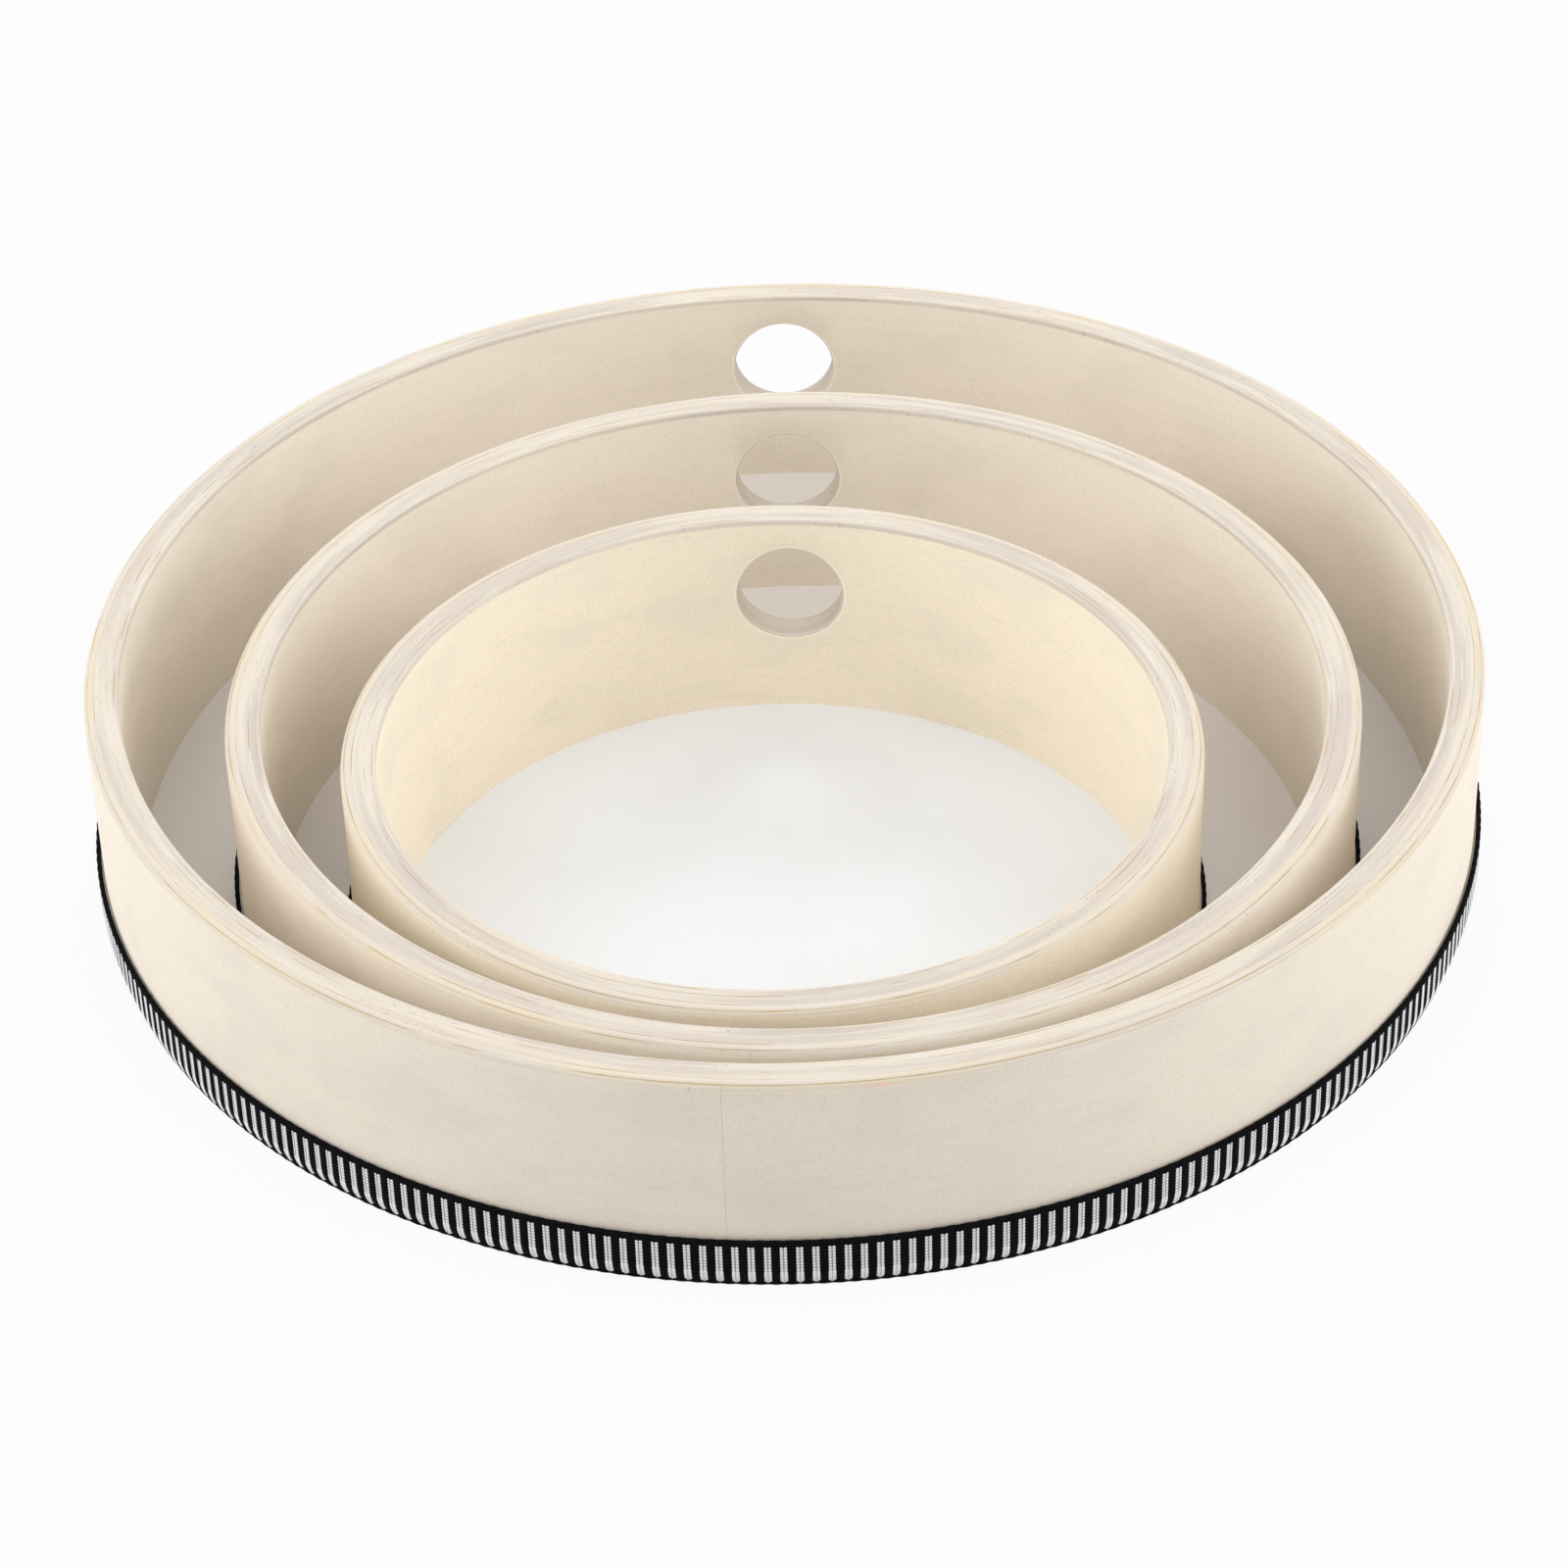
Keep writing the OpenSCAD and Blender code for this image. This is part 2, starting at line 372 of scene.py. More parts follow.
def hole_cutter(drum, rims):
    """A closed cutter for the thumb hole. Its flared ends follow the round of the wall, so that the rounded
    edge of the hole is even."""
    ease, hole = rims.hole_ease / MM, drum.hole_radius
    clear = 3.0  # how far the cutter stands out of the wall
    run_out = 0.6  # how far the flare goes on along its first slope
    turns = [math.radians(degrees) for degrees in (20, 38, 56, 74, 90)]
    flare = [(hole + ease * (1 - math.sin(turn)), ease * (1 - math.cos(turn))) for turn in turns]
    wide, deep = flare[0]
    wide += run_out * math.cos(turns[0])
    flare.insert(0, (wide, deep - run_out * math.sin(turns[0])))
    outline = [(wide, drum.inner - clear)]
    outline += [(a, drum.inner + d) for a, d in flare] + [(a, drum.outer - d) for a, d in reversed(flare)]
    outline.append((wide, drum.outer + clear))
    bm = bmesh.new()
    line = [bm.verts.new((a, y, 0)) for a, y in outline]
    edges = [bm.edges.new(pair) for pair in zip(line, line[1:])]
    bmesh.ops.spin(
        bm,
        geom=line + edges,
        cent=(0, 0, 0),
        axis=(0, 1, 0),
        angle=FULL_TURN,
        steps=120,
        use_merge=True,
        use_duplicate=False,
    )
    bmesh.ops.holes_fill(bm, edges=[e for e in bm.edges if e.is_boundary], sides=0)
    for v in bm.verts:
        v.co.y = math.sqrt(v.co.y**2 - v.co.x**2)
        v.co.z += drum.hole_height
    bmesh.ops.recalc_face_normals(bm, faces=bm.faces)
    mesh = bpy.data.meshes.new("hole_cutter")
    bm.to_mesh(mesh)
    bm.free()
    cutter = bpy.data.objects.new("hole_cutter", mesh)
    bpy.context.scene.collection.objects.link(cutter)
    return cutter


def cut_hole(bm, cutter):
    """The mesh with the cutter taken out of it."""
    mesh = bpy.data.meshes.new("uncut")
    bm.to_mesh(mesh)
    bm.free()
    blank = bpy.data.objects.new("uncut", mesh)
    bpy.context.scene.collection.objects.link(blank)
    cut = blank.modifiers.new("thumb_hole", "BOOLEAN")
    cut.operation = "DIFFERENCE"
    cut.solver = "EXACT"
    cut.object = cutter
    bpy.context.view_layer.update()
    result = bpy.data.meshes.new_from_object(blank.evaluated_get(bpy.context.evaluated_depsgraph_get()))
    bpy.data.objects.remove(blank)
    bpy.data.meshes.remove(mesh)
    bm = bmesh.new()
    bm.from_mesh(result)
    bpy.data.meshes.remove(result)
    bmesh.ops.remove_doubles(bm, verts=bm.verts, dist=WELD)
    bmesh.ops.dissolve_degenerate(bm, edges=bm.edges, dist=WELD / 10)
    if any(not e.is_manifold for e in bm.edges):
        raise RuntimeError("a ply isn't closed after the thumb hole was cut")
    return bm


def wave_edge(bm, drum, rims):
    """Lets the sanded edge rise and fall a little along the rim."""
    reach, closeness, fall = 2.2, 3.1, 0.35
    for v in bm.verts:
        if v.co.z > drum.top - reach:
            where = Vector((v.co.x, v.co.y, 0)).normalized() * closeness
            v.co.z += rims.edge_wave / MM * (noise.noise(where + Vector((0, 0, drum.outer))) - fall)


def set_flat_map(bm, place):
    """Gives the mesh a UV map in millimetres: place takes a vertex and returns its two numbers."""
    layer = bm.loops.layers.uv.new("Weave")
    for face in bm.faces:
        for loop in face.loops:
            loop[layer].uv = place(loop.vert)


# ---- materials ----


class Number:
    """A value socket in a finish. Arithmetic on it adds Math nodes."""

    def __init__(self, finish, socket):
        self.finish, self.socket = finish, socket

    def __add__(self, other):
        return self.finish.math("ADD", self, other)

    def __radd__(self, other):
        return self.finish.math("ADD", other, self)

    def __sub__(self, other):
        return self.finish.math("SUBTRACT", self, other)

    def __rsub__(self, other):
        return self.finish.math("SUBTRACT", other, self)

    def __mul__(self, other):
        return self.finish.math("MULTIPLY", self, other)

    def __rmul__(self, other):
        return self.finish.math("MULTIPLY", other, self)

    def __truediv__(self, other):
        return self.finish.math("DIVIDE", self, other)

    def __abs__(self):
        return self.finish.math("ABSOLUTE", self)


class Finish:
    """The nodes of a material or of the sky, built one at a time."""

    def __init__(self, owner):
        owner.use_nodes = True
        self.owner = owner
        self.tree = owner.node_tree
        self.tree.nodes.clear()

    def add(self, kind, settings=None, values=None):
        """A new node: its settings first, then the values or links of its sockets."""
        node = self.tree.nodes.new(kind)
        for key, value in (settings or {}).items():
            setattr(node, key, value)
        for key, value in (values or {}).items():
            if isinstance(value, Number):
                value = value.socket
            if isinstance(value, bpy.types.NodeSocket):
                self.tree.links.new(value, node.inputs[key])
            else:
                node.inputs[key].default_value = value
        return node

    def math(self, operation, *values):
        node = self.add("ShaderNodeMath", {"operation": operation}, dict(enumerate(values)))
        return Number(self, node.outputs[0])

    def smooth(self, value, low, high):
        """0 below low and 1 above high, smooth between them; low may be the larger."""
        backwards = low > high
        node = self.add(
            "ShaderNodeMapRange",
            {"interpolation_type": "SMOOTHSTEP"},
            {"Value": value, "From Min": min(low, high), "From Max": max(low, high)},
        )
        rise = Number(self, node.outputs[0])
        return 1 - rise if backwards else rise

    def vector(self, x, y, z):
        return self.add("ShaderNodeCombineXYZ", None, {0: x, 1: y, 2: z}).outputs[0]

    def parts(self, vector):
        node = self.add("ShaderNodeSeparateXYZ", None, {0: vector})
        return [Number(self, out) for out in node.outputs]

    def noise(self, where, detail=2.0, roughness=0.5):
        values = {"Vector": where, "Scale": 1.0, "Detail": detail, "Roughness": roughness}
        return Number(self, self.add("ShaderNodeTexNoise", None, values).outputs[0])

    def round_distance(self, a, b):
        """Length of the line whose two parts are a and b."""
        return self.math("SQRT", a * a + b * b)

    def wave(self, turns):
        """0 to 1 and back once for each whole turn."""
        return self.math("SINE", turns * FULL_TURN) * 0.5 + 0.5

    def seen_directly(self):
        """1 for what the camera sees itself, by a reflection or through glass."""
        rays = self.add("ShaderNodeLightPath").outputs
        seen = Number(self, rays["Is Camera Ray"])
        for kind in ("Is Glossy Ray", "Is Transmission Ray"):
            seen = self.math("MAXIMUM", seen, Number(self, rays[kind]))
        return seen

    def mix(self, factor, a, b):
        """Colour a where factor is 0 and b where it is 1."""
        node = self.add("ShaderNodeMix", {"data_type": "RGBA"}, {0: factor, 6: opaque(a), 7: opaque(b)})
        return node.outputs[2]

    def blend(self, factor, a, b):
        """Shader a where factor is 0 and b where it is 1."""
        return self.add("ShaderNodeMixShader", None, {0: factor, 1: a.outputs[0], 2: b.outputs[0]})

    def own_place(self, drum):
        """The point's place in the drum's own millimetres."""
        at = self.add("ShaderNodeTexCoord").outputs["Object"]
        node = self.add(
            "ShaderNodeMapping",
            {"vector_type": "TEXTURE"},
            {"Vector": at, "Location": drum.centre, "Rotation": (0, 0, drum.turn), "Scale": (MM, MM, MM)},
        )
        return node.outputs[0]

    def surface(self, colour, roughness, bump=None, depth=0.0, **plain):
        """Ends the material in one Principled shader. Bump is a height in millimetres."""
        values = {"Base Color": opaque(colour), "Roughness": roughness, **plain}
        if bump is not None:
            values["Normal"] = self.add(
                "ShaderNodeBump", None, {"Height": bump, "Strength": 1.0, "Distance": depth * MM}
            ).outputs[0]
        shader = self.add("ShaderNodeBsdfPrincipled", None, values)
        self.add("ShaderNodeOutputMaterial", None, {"Surface": shader.outputs[0]})
        return self.owner


def new_finish(name):
    """The finish of a new material."""
    return Finish(bpy.data.materials.new(name))


def opaque(colour):
    """A colour with its alpha, or the socket as it is."""
    if isinstance(colour, (Number, bpy.types.NodeSocket)):
        return colour
    return (*colour[:3], 1.0)


# How much of a ply's sanded edge is greyer, and how much is yellower
EDGE_TONES = {
    "outer_ply": (0.2, 0.8),
    "outer_cross_ply": (0.25, 0.6),
    "core_ply": (0.75, 0.2),
    "inner_cross_ply": (0.9, 0.1),
    "inner_ply": (0.5, 0.2),
}
STAIN_PLACE = (15.4, 0.75)  # millimetres: how far right of the front it is, and below the open edge


def sanded_edge(f, x, y, drum, part, rims):
    """Colour of a ply's sanded edge: fine lines round the rim, slow changes of tone, pores, and the glue
    lines at both sides. Also returns the lines."""
    near, far = drum.span(part)
    r = f.round_distance(x, y)
    lines = f.noise(f.vector(r * 8, x * 0.025, y * 0.025), 3.0, 0.65)
    tone = f.noise(f.vector(x * 0.022, y * 0.022, r * 0.35), 2.0)
    warm = f.noise(f.vector(x * 0.03, y * 0.03, r * 0.5 + 40), 1.0)
    grey_share, yellow_share = EDGE_TONES[part]
    edge = f.mix(f.smooth(tone, 0.36, 0.62) * grey_share, rims.edge, rims.edge_grey)
    edge = f.mix(f.smooth(warm, 0.4, 0.66) * yellow_share, edge, rims.edge_yellow)
    edge = f.mix(f.smooth(lines, 0.5, 0.68) * 0.55, edge, rims.edge_grey)
    edge = f.mix(f.smooth(lines, 0.45, 0.3) * 0.5, edge, rims.pale_line)
    pores = f.noise(f.vector(r * 2.4, x * 0.9, y * 0.9), 2.0, 0.6)
    crowd = f.smooth(f.noise(f.vector(x * 0.05, y * 0.05, 7.0), 1.0), 0.4, 0.7) * 0.8 + 0.2
    edge = f.mix(f.smooth(pores, 0.63, 0.74) * crowd * (0.35 + grey_share * 0.45), edge, rims.speck)

    line_tone = f.noise(f.vector(x * 0.06, y * 0.06, r * 1.5))
    tan = f.smooth(line_tone, 0.3, 0.45) if "outer" in part else f.smooth(line_tone, 0.46, 0.6)
    line = f.mix(tan, rims.pale_line, rims.glue)
    clear = f.smooth(f.noise(f.vector(x * 0.09, y * 0.09, r * 2.5), 1.0), 0.35, 0.6) * 0.7 + 0.25
    if far < drum.outer - HAIR:
        edge = f.mix(f.smooth(far - r, 0.17, 0.05) * clear, edge, line)
    if near > drum.inner + HAIR:
        edge = f.mix(f.smooth(r - near, 0.15, 0.04) * clear, edge, line)
    return edge, lines


def sanded_face(f, x, y, z, fibres, tooth, drum, rims):
    """Colour of a face veneer's broad side: long fibres, a short tooth, streaks, clouds and flecks."""
    streaks = f.noise(f.vector(x * 0.045, y * 0.045, z * 0.9), 3.0, 0.6)
    clouds = f.noise(f.vector(x * 0.05, y * 0.05, z * 0.09), 2.0)
    flecks = f.noise(f.vector(x * 1.1, y * 1.1, z * 3.2), 1.0, 0.4)
    # For the small drum, a yellower face as painted light; for the others, the plain face colour.
    pale = rims.small_face_painted_light if drum.name == "small" else rims.face
    face = f.mix(f.smooth(fibres, 0.4, 0.75) * 0.22, pale, rims.face_deep)
    face = f.mix(f.smooth(tooth, 0.42, 0.66) * 0.45, face, rims.face_deep)
    face = f.mix(f.smooth(streaks, 0.5, 0.72) * 0.2, face, rims.face_deep)
    face = f.mix(f.smooth(clouds, 0.45, 0.7) * 0.12, face, rims.edge_grey)
    return f.mix(f.smooth(flecks, 0.74, 0.84) * 0.3, face, rims.speck)


def wood_finish(drum, part, rims):
    """Bare sanded veneer, whose edge shows at the top of the rim and in the thumb hole."""
    f = new_finish(f"{drum.name}_{part}_wood")
    x, y, z = f.parts(f.own_place(drum))
    fibres = f.noise(f.vector(x * 0.3, y * 0.3, z * 5.5), 4.0, 0.65)
    tooth = f.noise(f.vector(x * 2.4, y * 2.4, z * 1.7), 2.0, 0.7)
    edge, lines = sanded_edge(f, x, y, drum, part, rims)
    from_axis = f.round_distance(x, z - drum.hole_height)
    behind = f.math("GREATER_THAN", y, 0.0)
    bore = f.smooth(from_axis, drum.hole_radius + 0.4, drum.hole_radius + 0.1) * behind
    if part in ("outer_ply", "inner_ply"):
        top = f.smooth(z, drum.top - 1.25, drum.top - 0.75)
        # Painted highlight: the eased ring round the thumb hole is painted lighter than the face.
        eased_highlight = f.smooth(from_axis, drum.hole_radius + 0.75, drum.hole_radius + 0.5) * behind
        face = sanded_face(f, x, y, z, fibres, tooth, drum, rims)
        face = f.mix(eased_highlight * 0.6, face, rims.eased_highlight)
        wood = f.mix(f.math("MAXIMUM", top, bore), face, edge)
    else:
        wood = f.mix(bore * 0.4, edge, rims.edge_grey)
    if drum.name == "large" and part == "outer_ply":
        along, below = x - STAIN_PLACE[0], z - drum.top + STAIN_PLACE[1]
        aside = along * along / 7 + below * below / 0.2  # 1 on the stain's oval outline
        before = f.math("LESS_THAN", y, 0.0)
        wood = f.mix(f.smooth(aside, 1.0, 0.1) * before * 0.3, wood, rims.stain)
    grain = fibres * 0.5 + tooth * 0.3 + lines * 0.3
    return f.surface(wood, 0.55 + fibres * 0.15, bump=grain, depth=0.03, **{"Specular IOR Level": 0.35})


def head_finish(drum, heads):
    """Smooth coated membrane with a faint fibrous tooth."""
    f = new_finish(f"{drum.name}_head_membrane")
    x, y, z = f.parts(f.own_place(drum))
    clouds = f.noise(f.vector(x * 0.03, y * 0.03, z), 3.0, 0.55)
    tooth = f.noise(f.vector(x * 1.6, y * 1.6, z * 1.6), 3.0, 0.6)
    # Painted light and shade: a cooler head colour for the small drum, and a warmer, darker one for the two drums
    # whose heads lie in shade.
    skin = heads.small if drum.name == "small" else heads.large
    skin = f.mix(f.smooth(clouds, 0.35, 0.75) * 0.3, skin, heads.shade)
    return f.surface(skin, 0.68 + tooth * 0.1, bump=tooth, depth=0.008, **{"Specular IOR Level": 0.25})


def glue_finish(drum, rims):
    """Dried clear glue, slightly cloudy."""
    f = new_finish(f"{drum.name}_dried_glue")
    x, y, z = f.parts(f.own_place(drum))
    clouds = f.noise(f.vector(x * 0.6, y * 0.6, z * 0.6), 2.0)
    return f.surface(f.mix(clouds, rims.edge_yellow, rims.pale_line), 0.35 + clouds * 0.1)


def band_finish(drum, ribbons):
    """Black ground weave, with slanting cord along both selvedges."""
    f = new_finish(f"{drum.name}_ribbon_black")
    u, v, _ = f.parts(f.add("ShaderNodeUVMap", {"uv_map": "Weave"}).outputs[0])
    bottom, top = bar_span(drum, ribbons)
    selvedge = f.math("MAXIMUM", f.smooth(v, top - 0.1, top), f.smooth(v, bottom + 0.1, bottom))
    cords = f.wave((u + v * 0.8) / 0.7)
    weave = f.wave(v / 0.42) * 0.6 + f.wave(u / 0.46) * 0.4
    height = weave + selvedge * (cords - weave)
    fuzz = f.noise(f.vector(u * 5, v * 5, 0.0), 2.0)
    # Painted highlight on the raised threads of the weave, following the bump height, mixed with random fuzz.
    black = f.mix(height * 0.6 + fuzz * 0.3, ribbons.black, ribbons.fuzz_and_thread_highlight)
    return f.surface(black, 0.85, bump=height, depth=0.06, **{"Specular IOR Level": 0.04})


def thread_finish(drum, ribbons):
    """White bars of twisted thread, two columns beside a middle groove, with painted shade in the groove and between
    the thread turns.
    """
    f = new_finish(f"{drum.name}_ribbon_white")
    u, v, _ = f.parts(f.add("ShaderNodeUVMap", {"uv_map": "Weave"}).outputs[0])
    off = abs(u)
    turns = f.wave((v + off * 0.25) / tooth_height(drum, ribbons))
    toothed = toothed_from(drum, ribbons)
    smoother = f.smooth(v, toothed + 0.5, toothed - 0.3)
    turns = turns + smoother * (0.9 - turns)
    middle = f.smooth(off, 0.13, 0.06) * (1 - smoother * 0.5)
    # Painted shade in the valleys between thread turns and in the middle groove, following the bump's low parts.
    shade = f.math("MAXIMUM", (1 - turns) * 0.5, middle * 0.85)
    fuzz = f.noise(f.vector(u * 6, v * 6, 0.0), 2.0)
    white = f.mix(shade, ribbons.white, ribbons.thread_painted_shade)
    height = turns * 0.6 - middle * 0.9 + fuzz * 0.2
    return f.surface(white, 0.6, bump=height, depth=0.08, **{"Specular IOR Level": 0.3, "Sheen Weight": 0.15})


class RibbonPath:
    """How a drum's ribbon runs up it: bent round the rim's foot, then upright."""

    def __init__(self, drum):
        rims = bpy.context.scene.drum_rims
        low, high = drum.heights("ribbon")
        self.near, self.far = drum.span("ribbon_glue")[1], drum.span("ribbon")[1]
        self.foot = rims.foot_round / MM
        self.foot_axis = drum.outer - self.foot
        self.start = drum.head_thickness + rims.foot_rise / MM
        self.middle = (self.near + self.far) / 2 - self.foot_axis
        bent = math.asin((self.start - low) / (self.far - self.foot_axis))
        self.bent = bent * self.middle
        self.width = high - self.start + self.bent

    def at(self, r, along):
        """Radius and height of a point, from its radius where the ribbon is upright and its distance
        along the ribbon from its lower edge."""
        if along >= self.bent:
            return r, self.start + along - self.bent
        below = (self.bent - along) / self.middle
        reach = r - self.foot_axis
        return self.foot_axis + reach * math.cos(below), self.start - reach * math.sin(below)


def bar_span(drum, ribbons):
    """Lower and upper end of a white bar, along the ribbon."""
    return ribbons.bottom_selvedge / MM, RibbonPath(drum).width - ribbons.top_selvedge / MM


def toothed_from(drum, ribbons):
    """Where a bar's toothed part starts, along the ribbon."""
    low, high = bar_span(drum, ribbons)
    return low + (high - low) * ribbons.smooth_share


def tooth_height(drum, ribbons):
    """Length of one thread turn of a bar's toothed part."""
    return (bar_span(drum, ribbons)[1] - toothed_from(drum, ribbons)) / ribbons.teeth


# ---- operators ----


class DRUMS_OT_rims(Operator):
    """Build the five veneers of each rim, with the thumb hole cut through them"""

    bl_idname = "drums.rims"
    bl_label = "Plywood rims"

    def execute(self, context):
        rims = context.scene.drum_rims
        for drum in DRUMS:
            cutter = hole_cutter(drum, rims)
            for part, piece_name, slot in PLIES:
                near, far = drum.span(part)
                outline = ply_outline(drum, near, far, rims)
                start, gap = FRONT, 0.0
                if part in ("outer_ply", "inner_ply"):
                    start = self.joint_angle(drum, part)
                    gap = rims.joint_gap / MM / far
                bm = cut_hole(spin_outline(outline, rims.segments, start, gap), cutter)
                wave_edge(bm, drum, rims)
                piece = finish_piece(bm, f"{drum.name}_{piece_name}", drum, wood_finish(drum, part, rims))
                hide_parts(f"{drum.name}_{part}")
            bpy.data.objects.remove(cutter)
        return {"FINISHED"}

    @staticmethod
    def joint_angle(drum, part):
        """Middle of the face ply's joint: of the steps between neighbouring corners that are as narrow as a
        joint, the one nearest the front."""
        turns = sorted(
            {
                round(math.atan2(p[1] - drum.centre.y, p[0] - drum.centre.x) - drum.turn, 5)
                for p in corners(f"{drum.name}_{part}")
                if p[1] < drum.centre.y
            }
        )
        narrowest, widest = 0.5e-3, 3e-3
        middles = [(a + b) / 2 for a, b in zip(turns, turns[1:]) if narrowest < b - a < widest]
        return min(middles, key=lambda middle: abs(middle - FRONT), default=FRONT)


class DRUMS_OT_heads(Operator):
    """Build each drum's head: the flat membrane and its edge folded up the rim"""

    bl_idname = "drums.heads"
    bl_label = "Heads"

    def execute(self, context):
        heads, rims = context.scene.drum_heads, context.scene.drum_rims
        for drum in DRUMS:
            thick = drum.head_thickness
            ease = thick / 3
            flap_top = drum.heights("head_collar")[1]
            outside = skin_outline(drum, rims, thick)
            inside = skin_outline(drum, rims, 0.0)
            flat = outside[0][0]
            rings = [flat * part for part in (0.0, 0.1, 0.35, 0.6, 0.8, 0.93)]
            outline = [(r, 0.0) for r in rings] + outside
            outline += [
                (drum.outer + thick, flap_top - ease),
                (drum.outer + thick - ease, flap_top),
                (drum.outer + ease / 2, flap_top),
            ]
            outline += inside[::-1] + [(r, thick) for r in reversed(rings)]
            if drum.name != "large":
                outline = [(r, max(z, heads.seat / MM)) for r, z in outline]
            bm = spin_outline(outline, rims.segments)
            piece = finish_piece(bm, f"{drum.name}_drumhead", drum, head_finish(drum, heads))
            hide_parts(f"{drum.name}_head", f"{drum.name}_head_collar")
            middle = skin_outline(drum, rims, thick / 2) + [(drum.outer + thick / 2, flap_top)]
            cut = (flat + sum(math.dist(a, b) for a, b in zip(middle, middle[1:]))) * MM
            2 * cut
            2 * cut
            math.pi * cut**2
        return {"FINISHED"}


class DRUMS_OT_glue(Operator):
    """Give the glue under each ribbon its finish"""

    bl_idname = "drums.glue"
    bl_label = "Ribbon glue"

    def execute(self, context):
        for drum in DRUMS:
            glue = frame["nodes"][f"{drum.name}_ribbon_glue"]
            glue.data.materials.clear()
            glue.data.materials.append(glue_finish(drum, context.scene.drum_rims))
        return {"FINISHED"}


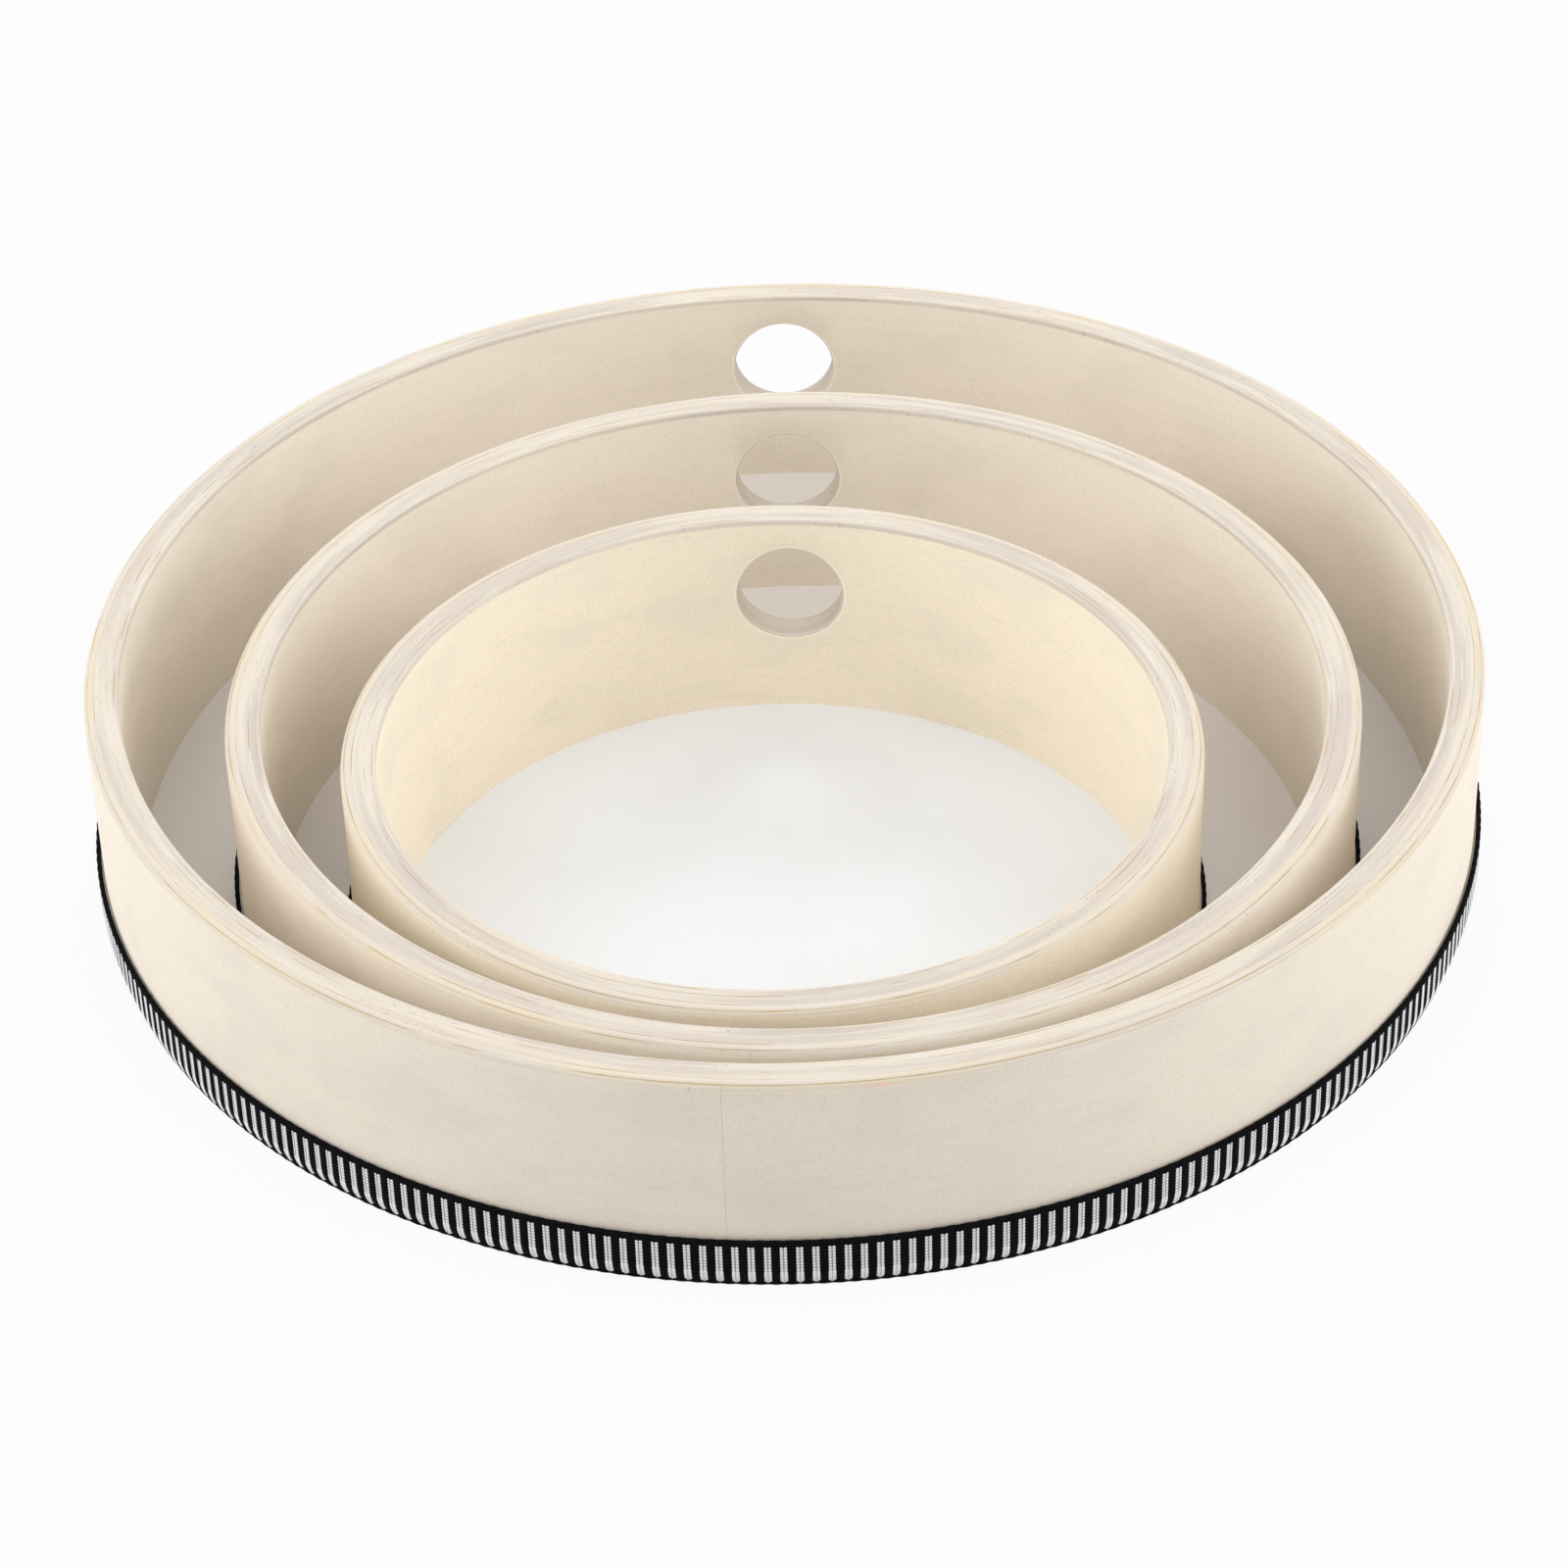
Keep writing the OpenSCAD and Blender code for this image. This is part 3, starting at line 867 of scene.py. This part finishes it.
class DRUMS_OT_ribbons(Operator):
    """Build each ribbon: a black woven band with cord selvedges, and its white thread bars"""

    bl_idname = "drums.ribbons"
    bl_label = "Ribbons"

    def execute(self, context):
        ribbons = context.scene.drum_ribbons
        for drum in DRUMS:
            path = RibbonPath(drum)
            thread_depth = 0.2  # under the ribbon's outer face, where the pitch is measured
            bars = round(FULL_TURN * (path.far - thread_depth) / (ribbons.pitch / MM))
            gap = ribbons.joint_gap / MM / path.far
            start = FRONT + ribbons.joint_angle
            band = self.band(drum, ribbons, path, bars, start, gap)
            threads = self.threads(drum, ribbons, path, bars, start, gap)
            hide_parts(f"{drum.name}_ribbon")
            (FULL_TURN - gap) * (path.near + path.far) / 2 * MM
        return {"FINISHED"}

    def band(self, drum, ribbons, path, bars, start, gap):
        """The black band: its section turned through one bar's pitch, and copies of that round the drum."""
        near, far, width = path.near, path.far, path.width
        floor, crest = far - 0.22, far - 0.03
        cord_swell, ground_swell = 0.05, 0.09
        bottom, top = bar_span(drum, ribbons)
        # Radius where the ribbon is upright, and distance from its lower edge along it
        section = [
            (near, 0.0),
            (near + 0.45, -0.24),
            (crest + 0.02, -0.2),
            (crest + 0.2, 0.05),
            (crest + 0.16, bottom - 0.22),
            (crest - 0.02, bottom - 0.06),
            (floor, bottom + 0.04),
        ]
        rows = 8
        low, run = bottom + 0.04, top - bottom - 0.08
        section += [(floor, low + run * row / rows) for row in range(1, rows)]
        section += [
            (floor, top - 0.04),
            (crest - 0.1, top + 0.12),
            (crest, top + 0.35),
            (crest - 0.05, width - 0.28),
            (crest - 0.24, width - 0.05),
            (near, width),
        ]
        section += [(near, width * (1 - row / rows)) for row in range(3, rows)]
        outline = [path.at(r, along) for r, along in section]
        period = (FULL_TURN - gap) / bars
        bm = repeat_outline(outline, 6, bars, start + gap / 2, period)
        known, places = {}, {}
        for v in bm.verts:
            turn = (math.atan2(v.co.y, v.co.x) - start) % FULL_TURN
            spot = (round(math.hypot(v.co.x, v.co.y), 3), round(v.co.z, 3))
            if spot not in known:
                known[spot] = min(zip(outline, section), key=lambda pair: math.dist(pair[0], spot))[1]
            r, along = known[spot]
            places[v] = (turn * drum.outer, along)
            # 1 between two bars and -1 in the middle of a bar
            swell = math.cos((turn - gap / 2) / period * FULL_TURN)
            if along > top + 0.25:
                along += (swell - 1) / 2 * ribbons.scallop / MM
            if r > floor + 0.1:
                r += cord_swell * (swell - 1)
            elif r > near + 0.1:
                r += ground_swell * swell
            reach, height = path.at(r, along)
            stretch = reach / math.hypot(v.co.x, v.co.y)
            v.co = (v.co.x * stretch, v.co.y * stretch, height)
        set_flat_map(bm, places.get)
        return finish_piece(bm, f"{drum.name}_ribbon_band", drum, band_finish(drum, ribbons), WEAVE_CREASE)

    def threads(self, drum, ribbons, path, bars, start, gap):
        """The white bars: one bar bent over the band, and copies of it round the drum, each a little off."""
        bottom, top = bar_span(drum, ribbons)
        toothed, tooth = toothed_from(drum, ribbons), tooth_height(drum, ribbons)
        half = ribbons.bar_width / MM / 2
        end, smooth_rows = 0.2, 6
        end_share, notch_share = 0.72, 0.82  # of the bar's width, at its ends and between two turns
        crown, side_depth = 0.03, 0.26  # how deep its middle and its sides lie in the band
        run = toothed - bottom - end
        heights = [bottom] + [bottom + end + run * step / smooth_rows for step in range(smooth_rows)]
        plain = len(heights)
        heights += [toothed + tooth * step / 2 for step in range(2 * ribbons.teeth + 1)]
        bm = bmesh.new()
        grid = bmesh.ops.create_grid(bm, x_segments=2, y_segments=len(heights) - 1, size=1)["verts"]
        ys = sorted({round(v.co.y, 5) for v in grid})
        along = {}
        for v in grid:
            row = ys.index(round(v.co.y, 5))
            side = v.co.x
            reach = half
            if row in (0, len(heights) - 1):
                reach *= end_share
            elif row >= plain and (row - plain) % 2 == 0:
                reach *= notch_share
            along[v] = heights[row]
            out, height = path.at(path.far - (side_depth if side else crown), heights[row])
            v.co = Vector((side * reach, out, height))
        bmesh.ops.holes_fill(bm, edges=[e for e in bm.edges if e.is_boundary], sides=0)
        bmesh.ops.recalc_face_normals(bm, faces=bm.faces)
        set_flat_map(bm, lambda v: (v.co.x, along[v]))
        period = (FULL_TURN - gap) / bars
        first = start - math.pi / 2 + gap / 2 + period / 2
        bmesh.ops.rotate(bm, cent=(0, 0, 0), matrix=Matrix.Rotation(first, 3, "Z"), verts=bm.verts)
        bmesh.ops.spin(
            bm,
            geom=bm.verts[:] + bm.edges[:] + bm.faces[:],
            cent=(0, 0, 0),
            axis=(0, 0, 1),
            angle=period * (bars - 1),
            steps=bars - 1,
            use_duplicate=True,
        )
        most_shift, most_lean = 0.05, 0.012
        for v in bm.verts:
            turn = (math.atan2(v.co.y, v.co.x) - start - gap / 2) % FULL_TURN
            bar = int(turn / period)
            shift = most_shift * noise.noise(Vector((bar * 1.7, drum.outer, 0)))
            lean = most_lean * noise.noise(Vector((bar * 1.3, drum.outer, 5)))
            twist = (shift + lean * (v.co.z - (bottom + top) / 2)) / drum.outer
            v.co = Matrix.Rotation(twist, 3, "Z") @ v.co
        finish = thread_finish(drum, ribbons)
        return finish_piece(bm, f"{drum.name}_ribbon_threads", drum, finish, WEAVE_CREASE)


class DRUMS_OT_stage(Operator):
    """Set up the floor, the lamps, the sky and the camera"""

    bl_idname = "drums.stage"
    bl_label = "Stage"

    def execute(self, context):
        stage = context.scene.drum_stage
        self.floor(stage)
        self.lamps(stage)
        self.sky(context.scene, stage)
        self.camera(context.scene, stage)
        context.scene.view_settings.view_transform = "Standard"
        return {"FINISHED"}

    def floor(self, stage):
        bm = bmesh.new()
        metres_out = 3.0
        bmesh.ops.create_grid(bm, x_segments=1, y_segments=1, size=metres_out)
        mesh = bpy.data.meshes.new("floor")
        bm.to_mesh(mesh)
        bm.free()
        floor = bpy.data.objects.new("floor", mesh)
        bpy.context.scene.collection.objects.link(floor)
        f = new_finish("pale_floor")
        pale = f.add("ShaderNodeBsdfDiffuse", None, {"Color": (stage.floor, stage.floor, stage.floor, 1)})
        white = f.add("ShaderNodeEmission", None, {"Color": (1, 1, 1, 1), "Strength": 1.0})
        floor_look = f.blend(f.seen_directly() * stage.floor_white, pale, white)
        # From below the floor is clear, so that the undersides can be looked at
        clear = f.add("ShaderNodeBsdfTransparent")
        under = f.add("ShaderNodeNewGeometry").outputs["Backfacing"]
        both = f.blend(under, floor_look, clear)
        f.add("ShaderNodeOutputMaterial", None, {"Surface": both.outputs[0]})
        mesh.materials.append(f.owner)

    def lamps(self, stage):
        """Soft round lamps, all at one distance from the middle of the drums."""
        aim = Vector((0, 0, 0.02))
        for name, turn, rise, power in (
            ("left_front_lamp", -45, 50, stage.front_power),
            ("right_front_lamp", 45, 50, stage.front_power),
            ("left_side_lamp", -90, 35, stage.side_power),
            ("right_side_lamp", 90, 35, stage.side_power),
            ("left_low_lamp", -90, 15, stage.low_power),
            ("right_low_lamp", 90, 15, stage.low_power),
            ("back_lamp", 180, 30, stage.back_power),
        ):
            around, above = math.radians(turn), math.radians(rise)
            away = Vector((math.sin(around) * math.cos(above), -math.cos(around) * math.cos(above), math.sin(above)))
            lamp = bpy.data.lights.new(name, "AREA")
            lamp.shape = "DISK"
            lamp.size = stage.lamp_size
            lamp.energy = power
            holder = bpy.data.objects.new(name, lamp)
            holder.location = aim + away * stage.lamp_distance
            holder.rotation_euler = (-away).to_track_quat("-Z", "Y").to_euler()
            bpy.context.scene.collection.objects.link(holder)

    def sky(self, scene, stage):
        world = bpy.data.worlds.new("plain_sky")
        f = Finish(world)
        even = f.add("ShaderNodeBackground", None, {"Color": (1, 1, 1, 1), "Strength": stage.sky})
        white = f.add("ShaderNodeBackground", None, {"Color": (1, 1, 1, 1), "Strength": 1.0})
        both = f.blend(f.seen_directly(), even, white)
        f.add("ShaderNodeOutputWorld", None, {"Surface": both.outputs[0]})
        scene.world = world

    def camera(self, scene, stage):
        data = bpy.data.cameras.new("camera")
        data.sensor_width = 36.0
        data.lens = stage.lens
        data.shift_y = -0.031  # lifts the drums to the middle of the frame
        camera = bpy.data.objects.new("camera", data)
        scene.collection.objects.link(camera)
        scene.camera = camera
        turn, rise, roll = stage.camera_turn, stage.camera_rise, stage.camera_roll
        target = Vector((-0.00032, 0, 0.0203))
        forward = Vector((-math.sin(turn) * math.cos(rise), math.cos(turn) * math.cos(rise), -math.sin(rise)))
        right = Vector((math.cos(turn), math.sin(turn), 0))
        across = right * math.cos(roll) - right.cross(forward) * math.sin(roll)
        axes = Matrix((across, across.cross(forward), -forward)).transposed().to_4x4()
        camera.matrix_world = Matrix.Translation(target - forward * stage.camera_distance) @ axes


class DRUMS_PT_nest(Panel):
    """Lists the parts of the nest"""

    bl_idname = "DRUMS_PT_nest"
    bl_label = "Nesting frame drums"
    bl_space_type = "VIEW_3D"
    bl_region_type = "UI"
    bl_category = "Drums"

    def draw(self, context):
        groups = (
            ("drum_rims", (DRUMS_OT_rims, DRUMS_OT_glue)),
            ("drum_heads", (DRUMS_OT_heads,)),
            ("drum_ribbons", (DRUMS_OT_ribbons,)),
            ("drum_stage", (DRUMS_OT_stage,)),
        )
        for name, makers in groups:
            box = self.layout.box()
            settings = getattr(context.scene, name)
            for key in settings.__annotations__:
                box.prop(settings, key)
            for maker in makers:
                box.operator(maker.bl_idname)


CLASSES = (
    RimSettings,
    HeadSettings,
    RibbonSettings,
    StageSettings,
    DRUMS_OT_rims,
    DRUMS_OT_heads,
    DRUMS_OT_glue,
    DRUMS_OT_ribbons,
    DRUMS_OT_stage,
    DRUMS_PT_nest,
)


def register():
    for cls in CLASSES:
        bpy.utils.register_class(cls)
    bpy.types.Scene.drum_rims = PointerProperty(type=RimSettings)
    bpy.types.Scene.drum_heads = PointerProperty(type=HeadSettings)
    bpy.types.Scene.drum_ribbons = PointerProperty(type=RibbonSettings)
    bpy.types.Scene.drum_stage = PointerProperty(type=StageSettings)


def unregister():
    for name in ("drum_rims", "drum_heads", "drum_ribbons", "drum_stage"):
        delattr(bpy.types.Scene, name)
    for cls in reversed(CLASSES):
        bpy.utils.unregister_class(cls)


def main():
    register()
    bpy.ops.drums.rims()
    bpy.ops.drums.heads()
    bpy.ops.drums.glue()
    bpy.ops.drums.ribbons()
    bpy.ops.drums.stage()
    bpy.context.view_layer.update()


if __name__ == "__main__":
    main()
